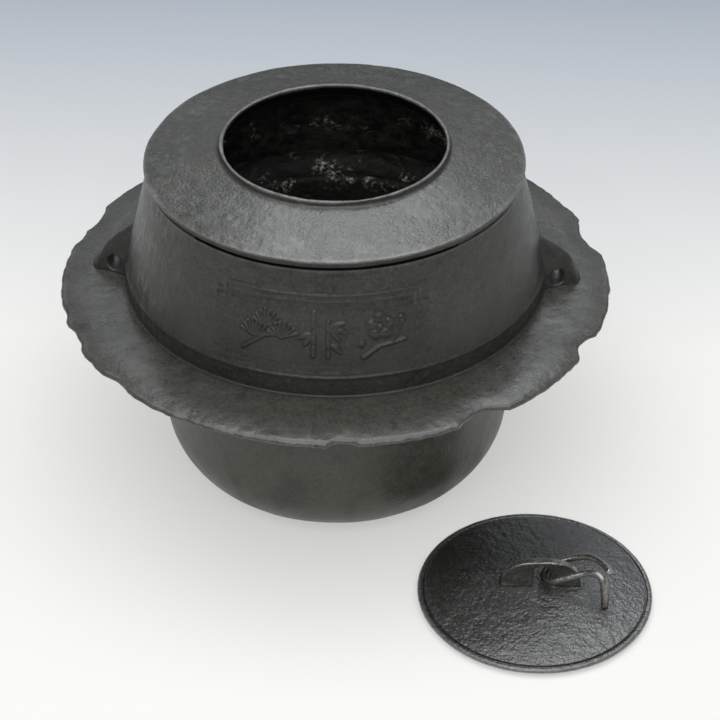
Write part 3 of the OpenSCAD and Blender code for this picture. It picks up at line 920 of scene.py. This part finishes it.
    # Inside, painted shade blackens the foot of the wall and its ledge
    worn = worn - zone("inside", "seat") * rise(-up, -CHAMBER_SHADE_BELOW, CHAMBER_SHADE_FADE)
    gritty = 0.4 + 0.7 * rise(noise(grid, 24, seed=61), -0.35, 0.7)
    set_wear(piece, np.where(inner, worn, worn * patchy(grid, 11, seed=60)),
             np.where(zone("wall", "band", "flange"), WALL_GRIT, gritty))
    facing = np.cos(np.radians(angles - STREAK_DIRECTION))[None]
    set_layer(piece, "streak", rise(facing, 0.75, 0.25) * zone("wall", "band") * STREAKS)
    # Painted shade blackens the throat all round, and a painted shadow the underside of the shoulder's edge
    # at the front alone
    kinds = inner + 2 * zone("wall", "band", "rim", "eave", "throat")
    set_kinds(piece, kinds + zone("eave") * (np.abs(off_by(angles, PANEL_FRONT)) < SHADOWED_EAVE_HALF))
    finish_piece(piece, "kettle", "upper_body", "body_iron", BODY_IRON, CHAMBER, WALL_IRON, PAINTED_SHADE_IRON)


# Bowl, seam and plates

def bowl():
    """The lower bowl, stained outside and blackened with painted shade at its inner rim."""
    inner_r = BOWL_R - BOWL_T
    outline, zones, _ = rounded([
        (0, 0, 0, 3.0, "out"),
        (BOWL_R, 0, BOWL_CORNER_R, 1.8, "out"),
        (BOWL_R, BOWL_RIM, 1.0, 1.0, "rim"),
        (inner_r, BOWL_RIM, 2.6, 2.2, "in"),
        (inner_r, BOWL_FLOOR_T, BOWL_CORNER_R - BOWL_T, 2.4, "in"),
        (0, BOWL_FLOOR_T, 0, 3.0, "in"),
    ], closed=False)
    angles = np.arange(0, 360, 1.0)
    # The base keeps flat where it stands
    normals = outward(outline, closed=False) * rise(outline[:, 1:], 0.5, 4)
    swell = with_noise(normals, BOWL_SKIN, seed=21)
    piece, points = turned("bottom_bowl", outline, angles, swell, poles=True)
    blotch = rough(points, BLOTCHES, seed=24) + rough(points @ SLANT, SLANTED_BLOTCHES, seed=27)
    stains = rise(blotch, 0.1, 0.5) * (points[:, 2] < FLANGE_LOW)
    inside = np.hypot(points[:, 0], points[:, 1]) < BOWL_R - 1
    # Painted shade blackens the inside near the rim
    black = rise(points[:, 2], BOWL_RIM - BOWL_SHADE_H, BOWL_SHADE_FADE) * inside
    set_wear(piece, -BOWL_STAINS * stains - black)
    rows = np.repeat(np.isin(zones, ["rim", "in"])[1:-2], len(angles))
    set_kinds(piece, np.concatenate([rows, np.zeros(len(angles)), np.ones(len(angles))]))
    finish_piece(piece, "kettle", "bottom_bowl", "bowl_iron", BOWL_IRON, CHAMBER)


def seam():
    """Putty between the bowl and the flange, with a fillet above and below."""
    corners = [
        (BOWL_R, FLANGE_LOW - SEAM_FILLET, 0.3),
        (SEAT_R + SEAM_FILLET, FLANGE_LOW, 0.3),
        (SEAT_R, FLANGE_LOW + SEAM_FILLET, 0.2),
        (SEAT_R, FLANGE_Z, 0.2),
        (SEAT_R + SEAM_FILLET, FLANGE_Z, 0.3),
        (BOWL_R, FLANGE_Z + SEAM_FILLET, 0.3),
    ]
    outline, _, _ = rounded([(*corner, 0.8, "") for corner in corners])
    swell = with_noise(outward(outline), PUTTY_SKIN, seed=31)
    piece, grid = turned("seam_putty", outline, np.arange(0, 360, 1.0), swell)
    set_wear(piece, np.zeros(grid.shape[:2]))
    finish_piece(piece, "kettle", "seam_putty", "lacquer_putty", PUTTY)


def loft(outlines):
    """Points and faces of a closed skin over a stack of outlines, each an array of (x, y, z) points."""
    rows, columns = len(outlines), len(outlines[0])
    faces = list(grid_faces(rows, columns, False))
    faces.append(tuple(range(columns)))
    faces.append(tuple(range((rows - 1) * columns, rows * columns)))
    return np.concatenate(outlines), faces


def joined(solids):
    """Points and faces of several solids as one list each."""
    points, faces, count = [], [], 0
    for solid_points, solid_faces in solids:
        faces += [tuple(int(i) + count for i in f) for f in solid_faces]
        points.append(solid_points)
        count += len(solid_points)
    return np.concatenate(points), faces


def singing_plates():
    """Small plates with soft corners, in a ring on the inner floor."""
    plates = []
    t = np.radians(np.arange(0, 360, 7.5))
    side = np.sign(np.cos(t)) * np.abs(np.cos(t)) ** PLATE_SQUARENESS
    end = np.sign(np.sin(t)) * np.abs(np.sin(t)) ** PLATE_SQUARENESS
    for k in range(PLATE_N):
        layers = []
        for height, inset in ((0, 0.2), (0.5, 0), (PLATE_T - 0.5, 0), (PLATE_T - 0.1, 0.4), (PLATE_T, 1.4)):
            x = side * (PLATE_W / 2 - inset) + PLATE_RING_R
            y = end * (PLATE_L / 2 - inset)
            layer = np.column_stack([x, y, np.full(len(t), BOWL_FLOOR_T + height)])
            layer[:, :2] += PLATE_WOBBLE * noise(layer + 50 * k, 6, seed=70)[:, None]
            layers.append(layer)
        points, faces = loft(layers)
        plates.append((placed(points, 360 * k / PLATE_N + 90, 0, 0), faces))
    piece = new_piece("singing_plates", *joined(plates), turn_out=True)
    set_wear(piece, np.zeros(len(piece.data.vertices)))
    finish_piece(piece, "kettle", "singing_plates", "plate_iron", PLATE_IRON)


# Lugs

def wall_at(height):
    """Radius of the wall's outside at a height above the flange."""
    return WALL_FOOT_R - WALL_SLOPE * max(0.0, height - FOOT_BAND_H)


def carved(name, solids, voxel_mm, softening, cutter=None):
    """A piece of joined solids with one worn skin, less the cutter; its points and their normals too."""
    piece = new_piece(name, *joined(solids), turn_out=True)
    if cutter:
        hole = new_piece(name + "_hole", *cutter, turn_out=True)
        assign(piece.modifiers.new("hole", "BOOLEAN"), object=hole, operation="DIFFERENCE", solver="EXACT")
    assign(piece.modifiers.new("skin", "REMESH"), mode="VOXEL", voxel_size=voxel_mm * MM)
    assign(piece.modifiers.new("soften", "SMOOTH"), factor=0.5, iterations=softening)
    graph = bpy.context.evaluated_depsgraph_get()
    graph.update()
    mesh = bpy.data.meshes.new_from_object(piece.evaluated_get(graph))
    piece.modifiers.clear()
    piece.data = mesh
    if cutter:
        bpy.data.objects.remove(hole)
    place, normals = np.empty((2, len(piece.data.vertices) * 3))
    piece.data.vertices.foreach_get("co", place)
    piece.data.vertices.foreach_get("normal", normals)
    return piece, place.reshape(-1, 3) / MM, normals.reshape(-1, 3)


def lug(name, side, fullness):
    """A mound against the wall with a hole across it; fullness bulges its outer slope."""
    layers = []
    s = np.sin(np.radians(np.linspace(0, 90, 16)))
    width = LUG_TIP_W / 2 + (LUG_W - LUG_TIP_W) / 2 * (1 - s) ** 2
    width = width * np.sqrt(1 - np.clip((s - 0.84) / 0.16, 0, 1) ** 2)
    for height in np.linspace(-LUG_SUNK, LUG_H, 24):
        fall = min(1.0, max(0.0, height / LUG_H))
        wall = wall_at(height)
        outer = WALL_FOOT_R + LUG_REACH - (LUG_REACH + WALL_FOOT_R - wall_at(LUG_H)) * fall ** fullness
        flare = LUG_FLARE * math.exp(-max(height, 0) / LUG_FLARE_H)
        x = wall + (max(outer - wall, 0.6) + flare) * s
        y = (1 - LUG_NARROWING * fall ** 1.2) * width + flare * np.sqrt(1 - s ** 4)
        half = np.column_stack([x, y])
        back = wall - LUG_ROOT
        ring = np.vstack([[(back, y[0])], half, half[-2::-1] * [1, -1], [(back, -y[0])]])
        layers.append(np.column_stack([ring, np.full(len(ring), FLANGE_Z + height)]))
    t = np.radians(np.arange(0, 360, 10))
    hole_x = WALL_FOOT_R + LUG_HOLE_OUT + LUG_HOLE_D / 2 * np.cos(t)
    hole_z = FLANGE_Z + LUG_HOLE_H + LUG_HOLE_D / 2 * np.sin(t)
    hole = loft([np.column_stack([hole_x, np.full(len(t), y), hole_z]) for y in (-LUG_W, LUG_W)])
    piece, place, normals = carved(name, [loft(layers)], 0.55, 6, hole)
    place = place + normals * rough(place, LUG_SKIN, seed=80)[:, None]
    place[:, :2] *= side
    move_points(piece, place)
    # Painted light: shade on the faces across the lug and in its hole, a highlight on its outward ridge
    ridge = rise(np.abs(normals[:, 0]), 0.55, 0.4)
    set_wear(piece, LUG_RIDGE_HIGHLIGHT * ridge - LUG_SIDE_SHADE * (1 - ridge))
    finish_piece(piece, "kettle", name, "body_iron", BODY_IRON)


# Lid

def at_lid(points):
    """Points of the lid's own frame, placed where the lid lies."""
    return placed(points, LID_TURN, LID_X, LID_Y)


def dome_at(d):
    """Height of the lid's upper face at a distance from its centre."""
    return LID_TOP - DOME_BALL_R + np.sqrt(DOME_BALL_R ** 2 - np.square(d))


def lid():
    """The domed plate: beaded rim, groove inside it, and a ring below that enters the mouth."""
    inner = LID_SPIGOT_R - LID_SPIGOT_T
    under = [(d, dome_at(d) - LID_T, 0, 1.2, "under") for d in np.linspace(0, inner, 12)]
    bead_in = LID_R - LID_BEAD_W
    step = bead_in - LID_GROOVE_W
    over = [(d, dome_at(d), 0, 0.9, "over") for d in np.linspace(step - 1.5, 0, 14)]
    bead_top = LID_RIM - LID_BEAD_DROP
    # Wear: the bead is paler from handling and a painted highlight, and painted shade darkens the groove
    # inside it
    outline, zones, wear = rounded(under + [
        (inner, 0, 0.5, 0.8, "spigot"),
        (LID_SPIGOT_R, 0, 0.5, 0.8, "spigot"),
        (LID_SPIGOT_R, LID_SPIGOT_H, 0.4, 0.8, "rim"),
        (LID_R, LID_SPIGOT_H, 0.9, 0.7, "rim", 0.3),
        (LID_R, bead_top, 1.3, 0.5, "rim", 0.8),
        (bead_in, bead_top, 0.6, 0.5, "rim", 0.5),
        (bead_in - 0.25, bead_top - LID_GROOVE, 0.15, 0.4, "rim", -1.0),
        (step + 0.15, bead_top - LID_GROOVE, 0.15, 0.4, "rim", -1.0),
        (step, float(dome_at(step)), 0.35, 0.5, "over", 0.4),
    ] + over, closed=False)
    angles = np.arange(0, 360, 0.75)
    normals = outward(outline, closed=False) * np.where(zones == "over", 1.0, LID_RIM_SKIN)[:, None]
    piece, points = turned("lid_plate", outline, angles, with_noise(normals, LID_SKIN, seed=91), poles=True)
    place = at_lid(points)
    move_points(piece, place)
    worn = np.repeat(spread(wear, outline, 1.2)[1:-1], len(angles))
    worn = np.concatenate([worn, [0, 0]]) * patchy(place, 9, seed=95)
    # Painted shade darkens the back of the dome; its front gets a painted highlight and more grain, whose
    # pale grains are painted glints
    behind = place[:, 1] + rough(place, BACK_SHADE_EDGE, seed=97)
    back = rise(behind, LID_Y - BACK_SHADE_BEFORE, BACK_SHADE_FADE)
    on_dome = np.hypot(place[:, 0] - LID_X, place[:, 1] - LID_Y) < step - 1
    set_wear(piece, worn + (LID_FRONT_HIGHLIGHT * (1 - back) - LID_BACK_SHADE * back) * on_dome,
             1.0 + LID_FRONT_GRIT_AND_GLINTS * (1 - back))
    finish_piece(piece, "lid", "lid_plate", "lid_iron", LID_IRON)


def block(low_corner, high_corner):
    """Points and faces of a plain box."""
    (x0, y0, z0), (x1, y1, z1) = low_corner, high_corner
    return loft([np.array([(x0, y0, z), (x1, y0, z), (x1, y1, z), (x0, y1, z)]) for z in (z0, z1)])


def staple():
    """A hump-backed plate with an opening for the ring, its two tangs bent over under the lid."""
    half = STAPLE_L / 2
    s = -half * np.cos(np.radians(np.arange(0, 181, 4)))
    hump = np.column_stack([s, LID_TOP + STAPLE_RISE * np.sqrt(1 - np.abs(s / half) ** 3)])
    t = np.radians(np.linspace(0, 180, 19))
    door = np.column_stack([DOOR_SHIFT + DOOR_W / 2 * np.cos(t),
                            LID_TOP + DOOR_H - DOOR_W / 2 + DOOR_W / 2 * np.sin(t)])
    foot = LID_TOP - STAPLE_SUNK
    outline = np.vstack([[(-half, foot)], hump, [(half, foot), (door[0, 0], foot)],
                         door, [(door[-1, 0], foot)]])
    solids = [loft([np.column_stack([outline[:, 0], np.full(len(outline), y), outline[:, 1]])
                    for y in (-STAPLE_T / 2, STAPLE_T / 2)])]
    clench_end = math.hypot(STAPLE_ALONG, STAPLE_ACROSS) + TANG_OUT + CLENCH_L
    under = float(dome_at(clench_end)) - LID_T - CLENCH_GAP
    for side in (-1, 1):
        solids.append(block((side * TANG_OUT - TANG_W / 2, -TANG_T / 2, under - CLENCH_T),
                            (side * TANG_OUT + TANG_W / 2, TANG_T / 2, LID_TOP + 2)))
        middle = side * (TANG_OUT + (CLENCH_L - TANG_W) / 2)
        solids.append(block((middle - CLENCH_L / 2, -TANG_T / 2, under - CLENCH_T),
                            (middle + CLENCH_L / 2, TANG_T / 2, under)))
    piece, place, normals = carved("lid_staple", solids, 0.4, 16)
    place = place + normals * rough(place, STAPLE_SKIN, seed=84)[:, None]
    # The plate thickens to its foot, where it runs into the lid
    off_foot = np.maximum(place[:, 2] - LID_TOP, 0)
    flare = STAPLE_FLARE * np.exp(-off_foot / STAPLE_FLARE_H)
    flare = flare + STAPLE_FILLET * np.exp(-off_foot / STAPLE_FILLET_H)
    place[:, 1] *= 1 + flare * (place[:, 2] > LID_TOP - 1.5)
    move_points(piece, at_lid(place + [STAPLE_ALONG, STAPLE_ACROSS, 0]))
    # Painted light and shade: its upward faces are paler, its sides darker, and its foot darker where it
    # meets the lid
    set_wear(piece, 0.3 * rise(normals[:, 2], 0.1, 0.6) - 0.4 * np.abs(normals[:, 1])
             - 0.5 * np.exp(-off_foot / 2.0))
    finish_piece(piece, "lid", "lid_staple", "forged_iron", FORGED_IRON)


def on_ring(along, across):
    """A place on the leaning ring: along it from the eye, and across it."""
    tilt = math.radians(RING_TILT)
    return np.array([along * math.cos(tilt), across, EYE_Z + along * math.sin(tilt)])


def bent(a, pull, b, count):
    """Points of a curve from a to b that is pulled towards a place."""
    t = np.linspace(0, 1, count + 1)[:, None]
    return (1 - t) ** 2 * a + 2 * t * (1 - t) * pull + t ** 2 * b


def at_ring(points):
    """Points of the ring's own frame, whose origin is under the eye, placed where the lid lies."""
    return at_lid(placed(points, RING_SKEW, EYE_ALONG, STAPLE_ACROSS))


def ring():
    """A bar bent through the staple: the leg that props it, front arm, eye and curled back arm."""
    leg_top = on_ring(LEG_OUT, -LEG_SIDE)
    foot = leg_top + [LEG_LEAN_OUT, -LEG_LEAN_FRONT, 0]
    off = at_ring(foot) - [LID_X, LID_Y, 0]
    foot[2] = float(dome_at(math.hypot(off[0], off[1]))) + FOOT_GAP
    eye = np.array([on_ring(RING_EYE_L * (1 + math.cos(a)), RING_EYE_W * math.sin(a))
                    for a in np.radians(np.arange(-90, -251, -8))])
    end_out = LEG_OUT + RING_END_PAST
    crown = on_ring(RING_CROWN_OUT, RING_CROWN_W)
    turn_in = on_ring(end_out - RING_END_SHORT, RING_CROWN_W - RING_END_IN)
    back_arm = (crown + turn_in) / 2
    leg_start = leg_top + LEG_BEND * unit(foot - leg_top)
    route = np.vstack([
        foot[None],
        bent(leg_start, leg_top, on_ring(LEG_OUT - 1.5 * LEG_BEND, -ARM_W), 10),
        eye,
        bent(eye[-1], crown, back_arm, 10)[1:],
        bent(back_arm, turn_in, on_ring(end_out, -RING_END_CURL), 16)[1:],
    ])
    length = np.concatenate([[0], np.cumsum(np.linalg.norm(np.diff(route, axis=0), axis=1))])
    even = np.arange(0, length[-1], RING_STEP)
    line = np.stack([np.interp(even, length, route[:, k]) for k in range(3)], -1)
    for _ in range(RING_SMOOTHING):
        line[1:-1] = (line[:-2] + 2 * line[1:-1] + line[2:]) / 4
    thinning = BAR_THINNING * rise(even, THIN_FROM, THIN_OVER)
    radius = RING_BAR_R * (BAR_AT_LEG - thinning + 0.05 * noise(line, 7, seed=15))
    from_end = np.minimum(even, even[-1] - even)
    radius = radius * np.sqrt(1 - np.clip(1 - from_end / BAR_END_L, 0, 1) ** 2 * 0.7)
    # Round sections, kept from twisting along the bar
    bar = at_ring(line)
    way = unit(np.gradient(bar, axis=0))
    side = np.empty_like(bar)
    side[0] = unit(np.cross(way[0], at_ring([1, 0, 0]) - at_ring([0, 0, 0])))
    for i in range(1, len(bar)):
        side[i] = unit(side[i - 1] - (side[i - 1] @ way[i]) * way[i])
    t = np.radians(np.arange(0, 360, 15))[:, None]
    round_about = np.cos(t) * side[:, None] + np.sin(t) * np.cross(way, side)[:, None]
    sections = bar[:, None] + radius[:, None, None] * round_about
    piece = new_piece("lid_ring", *loft(sections), turn_out=True)
    # Its ends are paler with a painted highlight, and a painted shadow darkens it about the eye
    off_eye = np.linalg.norm(line - on_ring(0, 0), axis=1)
    worn = 0.2 + 0.4 * (from_end < 1.2) - rise(-off_eye, -EYE_SHADOW_R, EYE_SHADOW_FADE)
    set_wear(piece, np.repeat(worn, len(t)))
    finish_piece(piece, "ring", "lid_ring", "forged_iron", FORGED_IRON)


upper_casting()
bowl()
seam()
singing_plates()
lug("lug_right", 1, 2.4)
lug("lug_left", -1, 1.75)
lid()
staple()
ring()


# Stage

FLOOR_HALF = 4.0
FLOOR_WHITE = (0.945, 0.945, 0.93)
FLOOR_FAR = (0.39, 0.45, 0.54)
FLOOR_FADE_FROM = 0.10
FLOOR_FADE_TO = 0.62
FLOOR_GLOW = 0.46
WORLD_COLOUR = (0.85, 0.92, 1.0)
WORLD_STRENGTH = 0.15
COOL = (0.93, 0.97, 1.0)
WHITE = (1.0, 0.99, 0.97)
# Soft panels of light: name, place, place aimed at, width and height in metres, power in watts, tint
PANELS = [
    ("back_upper", (0.0, 0.70, 1.18), (0.0, -0.03, 0.12), (0.60, 0.6), 5.4, COOL),
    ("back_lower", (0.0, 1.3, 0.85), (0.0, 0.0, 0.12), (2.4, 0.7), 2.75, COOL),
    ("over", (0.0, -0.25, 1.8), (0.0, -0.24, 0.0), (2.6, 2.0), 32.0, WHITE),
    ("front", (0.0, -1.4, 1.3), (0.0, 0.0, 0.12), (1.8, 0.9), 13.0, WHITE),
    ("left", (-0.9, 0.0, 0.45), (0.0, 0.0, 0.12), (1.2, 0.8), 0.3, WHITE),
    ("right", (0.9, 0.0, 0.45), (0.0, 0.0, 0.12), (1.2, 0.8), 0.5, WHITE),
]


def floor_material():
    """A pale sheet that turns a little blue and darker towards the back."""
    material, tree, shader, place = new_material("floor")
    far = ramp(add(tree, "SeparateXYZ", {0: place}).outputs["Y"], FLOOR_FADE_FROM, FLOOR_FADE_TO)
    colour = mix(far, FLOOR_WHITE, FLOOR_FAR)
    feed(shader, {"Base Color": colour, "Roughness": 0.9, "Specular IOR Level": 0.1})
    # To the camera and in reflections the sheet glows a little, which pales the shadows that it still takes
    glow = add(tree, "Emission", {"Color": colour})
    rays = add(tree, "LightPath").outputs
    kinds = ("Is Camera Ray", "Is Glossy Ray", "Is Transmission Ray")
    shown = weighed(*[(rays[kind], FLOOR_GLOW) for kind in kinds])
    both = add(tree, "MixShader", {"Fac": shown, 1: shader.outputs[0], 2: glow.outputs[0]})
    feed(tree.nodes["Material Output"], {"Surface": both.outputs[0]})
    return material


def stage():
    """The floor, the panels of light, the world and the camera."""
    h = FLOOR_HALF / MM
    floor = new_piece("floor", [(-h, -h, 0), (h, -h, 0), (h, h, 0), (-h, h, 0)], [(0, 1, 2, 3)])
    floor.data.materials.append(floor_material())

    for name, place, target, size, power, tint in PANELS:
        lamp = assign(bpy.data.lights.new(name, "AREA"), shape="RECTANGLE", size=size[0], size_y=size[1],
                      energy=power, color=tint)
        panel = bpy.data.objects.new(name, lamp)
        panel.location = place
        panel.rotation_euler = (Vector(target) - Vector(place)).to_track_quat("-Z", "Y").to_euler()
        # The panels behind only give sheen, so that no shadow falls forwards on the floor
        panel.visible_diffuse = not name.startswith("back")
        bpy.context.scene.collection.objects.link(panel)

    world = bpy.data.worlds.new("studio")
    world.use_nodes = True
    sky = world.node_tree.nodes["Background"].inputs
    sky["Color"].default_value = (*WORLD_COLOUR, 1)
    sky["Strength"].default_value = WORLD_STRENGTH
    bpy.context.scene.world = world

    lens = assign(bpy.data.cameras.new("camera"), sensor_fit="HORIZONTAL", sensor_width=CAMERA_SENSOR,
                  lens=CAMERA_LENS, clip_end=50)
    camera = bpy.data.objects.new("camera", lens)
    camera.location = [c * MM for c in CAMERA_PLACE]
    camera.rotation_euler = (math.radians(90 - CAMERA_PITCH), 0, math.radians(CAMERA_YAW))
    bpy.context.scene.collection.objects.link(camera)
    bpy.context.scene.camera = camera
    bpy.context.scene.view_settings.view_transform = "Standard"


stage()
